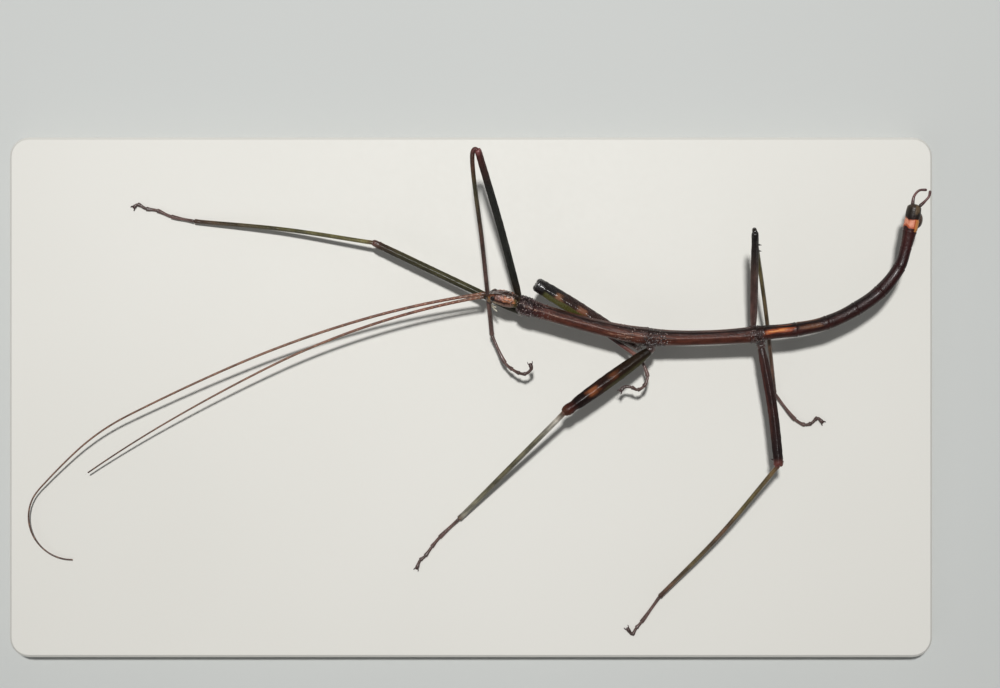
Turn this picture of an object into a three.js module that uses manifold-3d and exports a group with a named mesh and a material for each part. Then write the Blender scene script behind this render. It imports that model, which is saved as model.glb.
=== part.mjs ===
// A male common walkingstick (a stick insect), life size, in millimetres, on a plain flat plate.
// The head points to -X, the insect's right side faces +Y, and it leans over on its right side.
import * as THREE from 'three';
import { mergeVertices } from 'three/addons/utils/BufferGeometryUtils.js';
import Module from 'manifold-3d';

const wasm = await Module();
wasm.setup();

// ---- Driving dimensions: millimetres and degrees. Heights are above the plate's top face. ----
const PLATE = { length: 142, width: 80, thickness: 4, corner: 3, edge: 0.4 };
const JOINT_GAP = 0.2; // between two rings of the body or two lengths of a feeler
const SOCKET_GAP = 0.1; // round a piece that sits in or on another
const SOLE = 0.05; // height of the flat soles
const LEAN = 42; // how far the body lies over on its right side
const BODY_DEPTH = 0.96; // depth of the body over its width
const RING_EDGE = { length: 0.12, narrow: 0.88 }; // rounding at each end of a ring
const THINNEST = 0.26; // smallest radius of any leg or feeler

// The body as a walk from the brow to the tail. heading and rise say which way each piece points,
// and widths are across its front, middle and rear.
const BROW = [2.6, 15.45, 8.1];
const BODY = [
  { name: 'head', length: 4.5, heading: -13.5, rise: 3.8 },
  { name: 'prothorax', length: 2.7, heading: -22.4, rise: 2.1, widths: [2.3, 2.75, 2.5] },
  { name: 'mesothorax', length: 17.35, heading: -13.6, rise: 1.3, widths: [2.35, 2.2, 2.75] },
  { name: 'metathorax', length: 15.93, heading: 1.16, rise: 1.41, widths: [2.6, 2.2, 2.6] },
  { name: 'abdomen_1', length: 1.2, heading: 10.7, rise: 2.4, widths: [2.5, 2.4, 2.3] },
  { name: 'abdomen_2', length: 4.7, heading: 6.3, rise: 1.2, widths: [2.3, 2.1, 2.2] },
  { name: 'abdomen_3', length: 4.65, heading: 12.8, rise: 1.9, widths: [2.2, 2.05, 2.15] },
  { name: 'abdomen_4', length: 4.7, heading: 26, rise: 2.4, widths: [2.15, 2.05, 2.15] },
  { name: 'abdomen_5', length: 4.3, heading: 36.6, rise: 4, widths: [2.15, 2.05, 2.1] },
  { name: 'abdomen_6', length: 4.4, heading: 53.1, rise: 3.9, widths: [2.1, 1.9, 1.85] },
  { name: 'abdomen_7', length: 3.05, heading: 73.4, rise: 5.7, widths: [1.8, 1.66, 1.7] },
  { name: 'abdomen_8', length: 2.35, heading: 79.6, rise: 7.3, widths: [1.68, 1.85, 2.1] },
  { name: 'abdomen_9', length: 1.65, heading: 79.1, rise: 7.1, widths: [2.1, 2.15, 2.05] },
  { name: 'abdomen_10', length: 2.3, heading: 82.5, rise: 8.1, widths: [2.0, 2.15, 1.8] },
];
const HEAD_OUTLINE = [[0, 0.54], [0.1, 0.84], [0.3, 1.1], [0.6, 1.26], [0.85, 1.14], [1, 0.85]];
const BODY_SIDES = 12;

const EYE = { radius: 0.4, station: 0.21, out: 0.79, up: 0.34 };
const MOUTH = { radius: 0.5, station: 0.13, down: 0.82, length: 1.1 };
const PALP = { radius: THINNEST, reach: 1.02, out: 0.34, bend: 0.46, down: [0.1, 0.5, 0.75] };
const POCULUM = { length: 2.4, width: 1.6, depth: 1.7, station: 0, down: 1.55 };
const CERCUS = { radius: 0.27, tip: 0.25, straight: 0.25 };
// Each clasper bends round through these turns, one for each third of its length.
const CERCI = {
  cercus_left: { out: 0.85, length: 2.55, heading: 42, turns: [2, 8, 28], rise: 6 },
  cercus_right: { out: -0.25, length: 3.3, heading: 88, turns: [-8, -32, -44], rise: 4 },
};

// The feelers: a thick base, then arcs, each with its length, its turn and its height at its end.
const FEELERS = {
  antenna_left: {
    start: [2.15, 15.22, 8.5],
    heading: -170.2,
    arcs: [[16, 7.6, 7.1], [18, 8.8, 5.4], [18, 3.7, 3.55], [14.6, 4.4, 2]],
  },
  antenna_right: {
    start: [2.35, 15.7, 7.95],
    heading: -172.2,
    arcs: [[17.8, 7.8, 7.1], [21.9, 7.7, 5.65], [17.9, 3.3, 4.15], [10, 15.7, 2.8],
      [8, 4.6, 1.75], [8, 71.2, 0.95], [7, 61.2, 0.32]],
  },
};
const FEELER_BASE = { length: 1.3, radius: 0.31 };

// The legs. hip is the hip's place behind the brow along the body: on which piece, how far along it,
// how far out to that side and how far down from the body's middle line, square to the leaning back.
// fold moves the shin's start sideways and down from the femur's tip where the leg is folded up.
// toes are the lengths of the foot: each with its turn and the height at its end.
const LEGS = {
  front_left: {
    hip: { on: 'prothorax', at: 0.45, out: -1.1, down: 2.95 },
    femur: { length: 24.73, heading: 154.5, rise: -2.6, bow: 0, widths: [0.95, 1.05, 1.0] },
    shin: { length: 28.31, heading: 172.7, end: 0.9, bow: 0.4, width: 0.66 },
    toes: [[3.7, -4.7, 0.5], [2.4, -10.7, 0.3], [1.7, 12.9, 0.3], [1.4, -16.3, 0.3], [0.7, 60, 0.3]],
  },
  front_right: {
    hip: { on: 'prothorax', at: 0.09, out: -1.38, down: 0.92 },
    femur: { length: 24.25, heading: 106.2, rise: 24.8, bow: 0.15, widths: [0.95, 1.0, 0.95] },
    shin: { length: 29.6, heading: -84.1, end: 4, bow: 0, width: 0.68 },
    fold: { side: -0.72, down: 0 },
    toes: [[4.6, 20, 4.2], [1.45, 22.5, 4.8], [1.2, 14.4, 5.3], [0.9, 23.4, 5.8],
      [1.07, 44.8, 6.2], [0.7, 57.3, 6.5]],
  },
  middle_left: {
    hip: { on: 'metathorax', at: 0.03, out: 1.15, down: 1.72 },
    femur: { length: 15.76, heading: -144.5, rise: 4.39, bow: 0, widths: [1.4, 2.05, 1.45] },
    shin: { length: 24.68, heading: -133.29, end: 0.9, bow: 0, width: 0.82 },
    toes: [[4.2, -2.7, 0.5], [1.9, 7.4, 0.3], [1.7, 2.4, 0.3], [1.0, -12.9, 0.3], [1.3, 25.7, 0.3]],
  },
  middle_right: {
    hip: { on: 'mesothorax', at: 0.94, out: -0.67, down: 3.18 },
    femur: { length: 17.7, heading: 148.75, rise: 6.4, bow: 0, widths: [1.2, 2.1, 2.0] },
    shin: { length: 19.45, heading: -35.2, end: 5.6, bow: 0, width: 0.66 },
    fold: { side: 0, down: 1.2 },
    toes: [[2.85, -35.2, 5.7], [1.6, -42.6, 5.8], [1.0, -40.2, 5.9], [1.0, -48.7, 6],
      [1.0, 18.2, 6], [0.8, 46, 6]],
  },
  hind_left: {
    hip: { on: 'metathorax', at: 1.018, out: 1.0, down: 1.71 },
    femur: { length: 17.82, heading: -81.9, rise: 1.95, bow: -0.3, widths: [1.2, 1.4, 1.35] },
    shin: { length: 27.98, heading: -128.45, end: 0.9, bow: -0.5, width: 0.72 },
    toes: [[4.8, 4, 0.4], [1.2, -4.8, 0.3], [1.1, 5.6, 0.3], [1.1, -105, 0.3]],
  },
  hind_right: {
    hip: { on: 'metathorax', at: 0.98, out: -2.05, down: 1.26 },
    femur: { length: 16.6, heading: 95.5, rise: 33, bow: 0, widths: [0.9, 1.05, 0.95] },
    shin: { length: 28.85, heading: -76.6, end: 0.9, bow: -0.2, width: 0.64 },
    fold: { side: 0, down: 0.86 },
    toes: [[5.2, 25.9, 0.5], [1.7, 23, 0.3], [1.0, 40.5, 0.3], [1.2, 28.2, 0.45], [1.0, -78.7, 0.35]],
  },
};
const COXA = { radius: 0.62, knob: 0.56, start: 0.35 }; // start is its share of the way out to the hip
const KNEE_STEP = { folded: 0.3, straight: -0.2 }; // the shin's start past the femur's end
const LIMB_EDGE = 0.25; // rounding at each end of a femur or shin
const TOE_SWELL = 0.05; // how much wider a toe is at its end
const CLAW = { length: 0.8, spread: 38, radii: [[0, THINNEST], [0.6, 0.24], [1, 0.15]] };
const LEG_SIDES = 8;
const FEELER_SIDES = 6;

const LOOKS = {
  shell: { color: 0x4a2a1e, roughness: 0.38 },
  abdomen: { color: 0x2e1713, roughness: 0.32 },
  head: { color: 0x8a5a48, roughness: 0.3 },
  eye: { color: 0x17100d, roughness: 0.12 },
  limb: { color: 0x3a2219, roughness: 0.35 },
  shin: { color: 0x565430, roughness: 0.4 },
  foot: { color: 0x5b3d38, roughness: 0.45 },
  feeler: { color: 0x6a3d2a, roughness: 0.5 },
  plate: { color: 0xe9e6de, roughness: 0.7 },
};

// ---- Helpers ----
const UP = new THREE.Vector3(0, 0, 1);
const radians = THREE.MathUtils.degToRad;

function heading(degrees, rise = 0) {
  const flat = Math.cos(radians(rise));
  const turn = radians(degrees);
  return new THREE.Vector3(flat * Math.cos(turn), flat * Math.sin(turn), Math.sin(radians(rise)));
}

// The place on a path at t, with its tangent, its side (to the tangent's right) and its top.
function frame(path, t, lean = 0) {
  const inside = THREE.MathUtils.clamp(t, 0, 1);
  const tangent = path.getTangent(inside).normalize();
  const level = new THREE.Vector3().crossVectors(tangent, UP).normalize();
  const upright = new THREE.Vector3().crossVectors(level, tangent);
  const side = level.clone().applyAxisAngle(tangent, -radians(lean));
  const top = upright.clone().applyAxisAngle(tangent, -radians(lean));
  const past = (t - inside) * path.getLength();
  const origin = path.getPoint(inside).addScaledVector(tangent, past);
  return { origin, tangent, side, top };
}

// A closed solid along a path: a lathed outline of [t, radius] pairs whose rings stand square to it.
function loft(path, outline, sides, { lean = 0, depth = 1, grow = 0 } = {}) {
  const growT = grow / path.getLength();
  const first = outline[0];
  const last = outline[outline.length - 1];
  const profile = [new THREE.Vector2(0, first[0] - growT)];
  outline.forEach(([t, radius]) => {
    const shift = t === first[0] ? -growT : t === last[0] ? growT : 0;
    profile.push(new THREE.Vector2(radius + grow, t + shift));
  });
  profile.push(new THREE.Vector2(0, last[0] + growT));
  const geometry = new THREE.LatheGeometry(profile, sides);
  const places = geometry.getAttribute('position');
  const point = new THREE.Vector3();
  for (let i = 0; i < places.count; i += 1) {
    point.fromBufferAttribute(places, i);
    const at = frame(path, point.y, lean);
    at.origin.addScaledVector(at.side, point.x);
    at.origin.addScaledVector(at.top, point.z * depth);
    places.setXYZ(i, at.origin.x, at.origin.y, Math.max(at.origin.z, SOLE));
  }
  return toSolid(geometry);
}

function toSolid(geometry) {
  const bare = geometry.clone();
  bare.deleteAttribute('normal');
  bare.deleteAttribute('uv');
  const merged = mergeVertices(bare, 1e-5);
  const corners = merged.index.array;
  const kept = [];
  for (let i = 0; i < corners.length; i += 3) {
    const [a, b, c] = [corners[i], corners[i + 1], corners[i + 2]];
    if (a !== b && b !== c && c !== a) kept.push(a, b, c);
  }
  return new wasm.Manifold(new wasm.Mesh({
    numProp: 3,
    vertProperties: new Float32Array(merged.getAttribute('position').array),
    triVerts: new Uint32Array(kept),
  }));
}

function ball(place, radius, stretch = [1, 1, 1], turn = new THREE.Quaternion(), detail = 10) {
  const geometry = new THREE.SphereGeometry(radius, detail, Math.round(detail * 0.6));
  geometry.scale(...stretch);
  geometry.applyQuaternion(turn);
  geometry.translate(place.x, place.y, place.z);
  return toSolid(geometry);
}

function toGeometry(solid) {
  const { vertProperties, triVerts } = solid.getMesh();
  const geometry = new THREE.BufferGeometry();
  geometry.setAttribute('position', new THREE.BufferAttribute(new Float32Array(vertProperties), 3));
  geometry.setIndex(new THREE.BufferAttribute(new Uint32Array(triVerts), 1));
  geometry.computeVertexNormals();
  return geometry;
}

// One named mesh, whose own origin is where the piece starts.
function piece(name, solid, start, look) {
  const geometry = toGeometry(solid);
  geometry.translate(-start.x, -start.y, -start.z);
  const mesh = new THREE.Mesh(geometry, new THREE.MeshStandardMaterial({ metalness: 0, ...look }));
  mesh.name = name;
  mesh.position.copy(start);
  return mesh;
}

// Radius at t from three widths given at the two ends and the middle.
function radiusOf([front, middle, rear], t) {
  const bend = 2 * (front + rear) - 4 * middle;
  return 0.5 * (front + (rear - front - bend) * t + bend * t * t);
}

// ---- Body ----
function walk(start, steps) {
  const points = [new THREE.Vector3(...start)];
  steps.forEach((step) => {
    const next = points[points.length - 1].clone();
    points.push(next.addScaledVector(heading(step.heading, step.rise), step.length));
  });
  return points;
}

const spine = new THREE.CatmullRomCurve3(walk(BROW, BODY));

// A path over one piece of the body, running from 0 at its front to 1 at its rear.
class SpinePiece extends THREE.Curve {
  constructor(index) {
    super();
    this.index = index;
  }

  getPoint(t, target = new THREE.Vector3()) {
    return spine.getPoint((this.index + t) / BODY.length, target);
  }

  getTangent(t, target = new THREE.Vector3()) {
    return spine.getTangent((this.index + t) / BODY.length, target);
  }
}

const bodyPath = Object.fromEntries(BODY.map(({ name }, index) => [name, new SpinePiece(index)]));

function ringOutline({ name, length, widths }) {
  if (name === 'head') return HEAD_OUTLINE.map(([t, r]) => [t === 1 ? 1 - JOINT_GAP / length : t, r]);
  const gap = 0.5 * JOINT_GAP / length;
  const edge = RING_EDGE.length / length;
  const rings = Math.max(3, Math.round(length / 2));
  const outline = [[gap, RING_EDGE.narrow * radiusOf(widths, 0)]];
  for (let i = 0; i <= rings; i += 1) {
    const t = gap + edge + (1 - 2 * gap - 2 * edge) * (i / rings);
    outline.push([t, radiusOf(widths, t)]);
  }
  outline.push([1 - gap, RING_EDGE.narrow * radiusOf(widths, 1)]);
  return outline;
}

function bodySolid(part, grow = 0) {
  const shape = { lean: LEAN, depth: BODY_DEPTH, grow };
  return loft(bodyPath[part.name], ringOutline(part), BODY_SIDES, shape);
}

const bodyMould = wasm.Manifold.union(BODY.map((part) => bodySolid(part, SOCKET_GAP)));

// A place on a piece of the body: t along it, out to the left and up towards the back.
function onBody(name, t, out, up) {
  const at = frame(bodyPath[name], t, LEAN);
  return at.origin.addScaledVector(at.side, out).addScaledVector(at.top, up);
}

function buildBody() {
  const body = new THREE.Group();
  const eyes = { eye_left: 1, eye_right: -1 };
  const eyePlaces = Object.values(eyes).map((s) => onBody('head', EYE.station, s * EYE.out, EYE.up));
  const socketRadius = EYE.radius + 0.5 * SOCKET_GAP;
  const sockets = eyePlaces.map((place) => ball(place, socketRadius, undefined, undefined, 14));
  BODY.forEach((part) => {
    let solid = bodySolid(part);
    let look = part.name.startsWith('abdomen') ? LOOKS.abdomen : LOOKS.shell;
    if (part.name === 'head') {
      sockets.forEach((socket) => { solid = solid.subtract(socket); });
      look = LOOKS.head;
    }
    body.add(piece(part.name, solid, bodyPath[part.name].getPoint(0), look));
  });
  Object.keys(eyes).forEach((name, i) => {
    body.add(piece(name, ball(eyePlaces[i], EYE.radius, undefined, undefined, 14), eyePlaces[i], LOOKS.eye));
  });
  body.add(buildMouth());
  body.add(buildPoculum());
  Object.entries(CERCI).forEach(([name, cercus]) => body.add(buildCercus(name, cercus)));
  return body;
}

function leaningTurn(name, t) {
  const at = frame(bodyPath[name], t, LEAN);
  const basis = new THREE.Matrix4().makeBasis(at.side, at.tangent, at.top);
  return new THREE.Quaternion().setFromRotationMatrix(basis);
}

function buildMouth() {
  const centre = onBody('head', MOUTH.station, 0, -MOUTH.down);
  const turn = leaningTurn('head', MOUTH.station);
  const stretch = [1, MOUTH.length / (2 * MOUTH.radius), 1];
  let solid = ball(centre, MOUTH.radius, stretch, turn, 12);
  [1, -1].forEach((s) => {
    const along = PALP.reach / BODY[0].length;
    const out = [PALP.out, PALP.bend, 0.5 * (PALP.out + PALP.bend)];
    const points = [0, 0.44 * along, along].map((t, i) => (
      onBody('head', MOUTH.station + t, s * out[i], -MOUTH.down - PALP.down[i])));
    const path = new THREE.CatmullRomCurve3(points);
    solid = solid.add(loft(path, [[0, PALP.radius], [0.5, PALP.radius], [0.95, PALP.radius * 0.9]], 8));
  });
  return piece('mouthparts', solid.subtract(bodyMould), centre, LOOKS.head);
}

// The scoop under the last rings.
function buildPoculum() {
  const centre = onBody('abdomen_10', POCULUM.station, 0, -POCULUM.down);
  const turn = leaningTurn('abdomen_10', POCULUM.station);
  const stretch = [POCULUM.width, POCULUM.length, POCULUM.depth].map((size) => 0.5 * size);
  const solid = ball(centre, 1, stretch, turn, 14).subtract(bodyMould);
  return piece('poculum', solid, centre, LOOKS.abdomen);
}

function buildCercus(name, { out, length, heading: start, turns, rise }) {
  let way = start;
  const steps = [{ length: CERCUS.straight, heading: way, rise }];
  turns.forEach((turn) => {
    way += turn;
    steps.push({ length: length / turns.length, heading: way, rise });
  });
  const root = onBody('abdomen_10', 0.9, out, 0.1);
  const path = new THREE.CatmullRomCurve3(walk(root.toArray(), steps));
  const outline = [[0, CERCUS.radius], [0.25, CERCUS.radius], [0.5, CERCUS.radius],
    [0.75, CERCUS.tip], [0.95, CERCUS.tip], [1, 0.6 * CERCUS.tip]];
  return piece(name, loft(path, outline, 8).subtract(bodyMould), root, LOOKS.abdomen);
}

// ---- Feelers ----
function arcPoints(start, startHeading, arcs, steps) {
  const points = [new THREE.Vector3(...start)];
  let way = startHeading;
  arcs.forEach(([length, turn, height]) => {
    const from = points[points.length - 1].z;
    for (let i = 1; i <= steps; i += 1) {
      const chord = heading(way + turn / steps / 2);
      const next = points[points.length - 1].clone().addScaledVector(chord, length / steps);
      next.z = from + (height - from) * (i / steps);
      points.push(next);
      way += turn / steps;
    }
  });
  return points;
}

function buildFeeler(name, { start, heading: way, arcs }) {
  const feeler = new THREE.Group();
  const steps = 6;
  const path = new THREE.CatmullRomCurve3(arcPoints(start, way, arcs, steps));
  const baseEnd = FEELER_BASE.length / arcs[0][0] / arcs.length;
  const base = [[0, FEELER_BASE.radius], [0.55, FEELER_BASE.radius], [0.62, THINNEST], [1, 0.28]];
  const baseOutline = base.map(([t, radius]) => [t * baseEnd, radius]);
  feeler.add(piece(`${name}_base`, loft(path, baseOutline, 8), path.getPoint(0), LOOKS.feeler));
  arcs.forEach(([length], i) => {
    const gap = 0.5 * JOINT_GAP / length / arcs.length;
    const from = (i === 0 ? baseEnd + gap : i / arcs.length) + gap;
    const to = (i + 1) / arcs.length - gap;
    const outline = [];
    for (let k = 0; k <= steps; k += 1) outline.push([from + (to - from) * (k / steps), THINNEST]);
    const solid = loft(path, outline, FEELER_SIDES);
    feeler.add(piece(`${name}_${i + 1}`, solid, path.getPoint(from), LOOKS.feeler));
  });
  return feeler;
}

// ---- Legs ----
function bowedPath(from, to, bow) {
  const middle = from.clone().lerp(to, 0.5);
  const across = new THREE.Vector3().crossVectors(to.clone().sub(from), UP).normalize();
  return new THREE.CatmullRomCurve3([from, middle.addScaledVector(across, bow), to]);
}

function limbOutline(widths, length, rings, startRound, endRound) {
  const outline = [[0, startRound * widths[0] / 2]];
  const edge = LIMB_EDGE / length;
  for (let i = 0; i <= rings; i += 1) {
    const t = edge + (1 - 2 * edge) * (i / rings);
    outline.push([t, radiusOf(widths, t)]);
  }
  outline.push([1, endRound * widths[2] / 2]);
  return outline;
}

function buildLeg(name, leg) {
  const group = new THREE.Group();
  const root = onBody(leg.hip.on, leg.hip.at, COXA.start * leg.hip.out, -COXA.start * leg.hip.down);
  const hip = onBody(leg.hip.on, leg.hip.at, leg.hip.out, -leg.hip.down);

  const coxaPath = new THREE.LineCurve3(root, hip);
  const past = COXA.knob / coxaPath.getLength();
  const coxaOutline = [[0, 0.8 * COXA.radius], [0.3, COXA.radius], [1, COXA.knob],
    [1 + 0.6 * past, 0.8 * COXA.knob], [1 + past, 0.4 * COXA.knob]];
  const coxa = (grow) => loft(coxaPath, coxaOutline, LEG_SIDES, { grow });
  group.add(piece(`${name}_coxa`, coxa(0).subtract(bodyMould), hip, LOOKS.limb));

  const { femur, shin } = leg;
  const knee = hip.clone().addScaledVector(heading(femur.heading, femur.rise), femur.length);
  const femurPath = bowedPath(hip, knee, femur.bow);
  const femurOutline = limbOutline(femur.widths, femur.length, 8, 0.9, 0.6);
  const thigh = loft(femurPath, femurOutline, LEG_SIDES).subtract(coxa(SOCKET_GAP));
  group.add(piece(`${name}_femur`, thigh, hip, LOOKS.limb));

  const fold = leg.fold ?? { side: 0, down: 0 };
  const atKnee = frame(femurPath, 1);
  const shinStart = knee.clone()
    .addScaledVector(atKnee.side, fold.side)
    .addScaledVector(atKnee.top, -fold.down)
    .addScaledVector(atKnee.tangent, leg.fold ? KNEE_STEP.folded : KNEE_STEP.straight);
  const fall = -THREE.MathUtils.radToDeg(Math.asin((shinStart.z - shin.end) / shin.length));
  const ankle = shinStart.clone().addScaledVector(heading(shin.heading, fall), shin.length);
  const shinPath = bowedPath(shinStart, ankle, shin.bow);
  const shinWidths = [shin.width, 0.94 * shin.width, shin.width];
  const shinOutline = limbOutline(shinWidths, shin.length, 8, 0.7, 0.8);
  const thighMould = loft(femurPath, femurOutline, LEG_SIDES, { grow: SOCKET_GAP });
  const calf = loft(shinPath, shinOutline, LEG_SIDES - 2).subtract(thighMould);
  group.add(piece(`${name}_tibia`, calf, shinStart, LOOKS.shin));

  group.add(buildFoot(name, leg, ankle, shin.heading));
  return group;
}

// The foot's toes in a row, each a little wider at its end, then the pad and two claws.
function buildFoot(name, { toes, shin }, ankle, startHeading) {
  const points = [ankle.clone()];
  let way = startHeading;
  toes.forEach(([length, turn, height]) => {
    way += turn;
    const next = points[points.length - 1].clone().addScaledVector(heading(way), length);
    next.z = height;
    points.push(next);
  });
  const path = new THREE.CatmullRomCurve3(points);
  const count = toes.length;
  const first = JOINT_GAP / toes[0][0] / count;
  const outline = [[first, 0.44 * shin.width]];
  for (let i = 0; i < count; i += 1) {
    outline.push([(i + 0.4) / count, THINNEST]);
    outline.push([(i + 0.9) / count, THINNEST + TOE_SWELL]);
  }
  outline.push([1, THINNEST]);
  let solid = loft(path, outline, FEELER_SIDES);
  const tip = points[count];
  [CLAW.spread, -CLAW.spread].forEach((spread) => {
    const end = tip.clone().addScaledVector(heading(way + spread), CLAW.length);
    const clawPath = new THREE.LineCurve3(tip, end);
    solid = solid.add(loft(clawPath, CLAW.radii, FEELER_SIDES));
  });
  return piece(`${name}_tarsus`, solid, points[0], LOOKS.foot);
}

// ---- Display plate ----
function buildPlate() {
  const { length, width, thickness, corner, edge } = PLATE;
  const x = length / 2 - edge;
  const y = width / 2 - edge;
  const r = corner - edge;
  const outline = new THREE.Shape();
  outline.moveTo(-x + r, -y);
  outline.lineTo(x - r, -y);
  outline.absarc(x - r, -y + r, r, -Math.PI / 2, 0);
  outline.absarc(x - r, y - r, r, 0, Math.PI / 2);
  outline.absarc(-x + r, y - r, r, Math.PI / 2, Math.PI);
  outline.absarc(-x + r, -y + r, r, Math.PI, 1.5 * Math.PI);
  const geometry = new THREE.ExtrudeGeometry(outline, {
    depth: thickness - 2 * edge,
    bevelThickness: edge,
    bevelSize: edge,
    bevelSegments: 1,
    curveSegments: 3,
  });
  geometry.translate(0, 0, edge);
  return piece('stand_base', toSolid(geometry), new THREE.Vector3(), LOOKS.plate);
}

const insect = new THREE.Group();
insect.position.z = PLATE.thickness;
insect.add(buildBody());
Object.entries(FEELERS).forEach(([name, feeler]) => insect.add(buildFeeler(name, feeler)));
Object.entries(LEGS).forEach(([name, leg]) => insect.add(buildLeg(name, leg)));

const group = new THREE.Group();
group.add(buildPlate());
group.add(insect);

export default group;
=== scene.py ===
import math
import random
from bisect import bisect_right

import bmesh
import bpy
from mathutils import Matrix, Vector, noise


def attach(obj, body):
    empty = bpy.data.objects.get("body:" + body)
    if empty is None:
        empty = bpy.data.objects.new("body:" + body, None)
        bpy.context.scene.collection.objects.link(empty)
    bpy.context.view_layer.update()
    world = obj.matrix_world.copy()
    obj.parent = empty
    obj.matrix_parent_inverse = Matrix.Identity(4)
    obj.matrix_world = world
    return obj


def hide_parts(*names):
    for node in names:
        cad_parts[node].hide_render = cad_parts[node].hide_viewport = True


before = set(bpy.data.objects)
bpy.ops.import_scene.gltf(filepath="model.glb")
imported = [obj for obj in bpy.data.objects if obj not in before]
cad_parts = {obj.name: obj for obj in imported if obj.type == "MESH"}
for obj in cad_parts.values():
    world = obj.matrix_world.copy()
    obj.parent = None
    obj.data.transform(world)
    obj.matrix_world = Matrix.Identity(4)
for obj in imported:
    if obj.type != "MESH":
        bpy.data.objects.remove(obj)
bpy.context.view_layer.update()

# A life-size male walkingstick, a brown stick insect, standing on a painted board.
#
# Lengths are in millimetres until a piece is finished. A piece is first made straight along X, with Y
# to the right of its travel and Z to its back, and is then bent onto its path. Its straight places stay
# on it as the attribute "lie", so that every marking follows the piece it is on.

# ---- Sizes -------------------------------------------------------------------------------------

MM = 0.001
PLATE_TOP = 4.0
SOLE = 0.05  # height of the flat soles above the plate
LEAN = math.radians(42)  # how far the body lies over on its right side
UP = Vector((0, 0, 1))
WELD = 1e-4

# The body as a walk from the brow to the tail: length, heading and rise of each ring, and its widths
# at its front, middle and rear.
BROW = (2.6, 15.45, 8.1)
BODY = {
    "head": (4.5, -13.5, 3.8, None),
    "prothorax": (2.7, -22.4, 2.1, (2.3, 2.75, 2.5)),
    "mesothorax": (17.35, -13.6, 1.3, (2.35, 2.2, 2.75)),
    "metathorax": (15.93, 1.16, 1.41, (2.6, 2.2, 2.6)),
    "abdomen_1": (1.2, 10.7, 2.4, (2.5, 2.4, 2.3)),
    "abdomen_2": (4.7, 6.3, 1.2, (2.3, 2.1, 2.2)),
    "abdomen_3": (4.65, 12.8, 1.9, (2.2, 2.05, 2.15)),
    "abdomen_4": (4.7, 26.0, 2.4, (2.15, 2.05, 2.15)),
    "abdomen_5": (4.3, 36.6, 4.0, (2.15, 2.05, 2.1)),
    "abdomen_6": (4.4, 53.1, 3.9, (2.1, 1.9, 1.85)),
    "abdomen_7": (3.05, 73.4, 5.7, (1.8, 1.66, 1.7)),
    "abdomen_8": (2.35, 79.6, 7.3, (1.68, 1.85, 2.1)),
    "abdomen_9": (1.65, 79.1, 7.1, (2.1, 2.15, 2.05)),
    "abdomen_10": (2.3, 82.5, 8.1, (2.0, 2.15, 1.8)),
}
# The head's radius at shares of its length.
HEAD_OUTLINE = ((0, 0.54), (0.1, 0.84), (0.3, 1.1), (0.6, 1.26), (0.85, 1.14), (1, 0.85))
BODY_DEPTH = 0.96  # over its width
BODY_ENDS = (0.45, 0.5)  # how long its rounded brow and tail are
EYE = {"x": 0.945, "out": 0.79, "up": 0.34, "radius": 0.4}

# Each feeler: its start, its first heading, and its arcs as (length, turn, height at the end).
FEELERS = {
    "antenna_left": ((2.15, 15.22, 8.5), -170.2,
                     ((16, 7.6, 7.1), (18, 8.8, 5.4), (18, 3.7, 3.55), (14.6, 4.4, 2))),
    "antenna_right": ((2.35, 15.7, 7.95), -172.2,
                      ((17.8, 7.8, 7.1), (21.9, 7.7, 5.65), (17.9, 3.3, 4.15), (10, 15.7, 2.8),
                       (8, 4.6, 1.75), (8, 71.2, 0.95), (7, 61.2, 0.32))),
}

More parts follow.
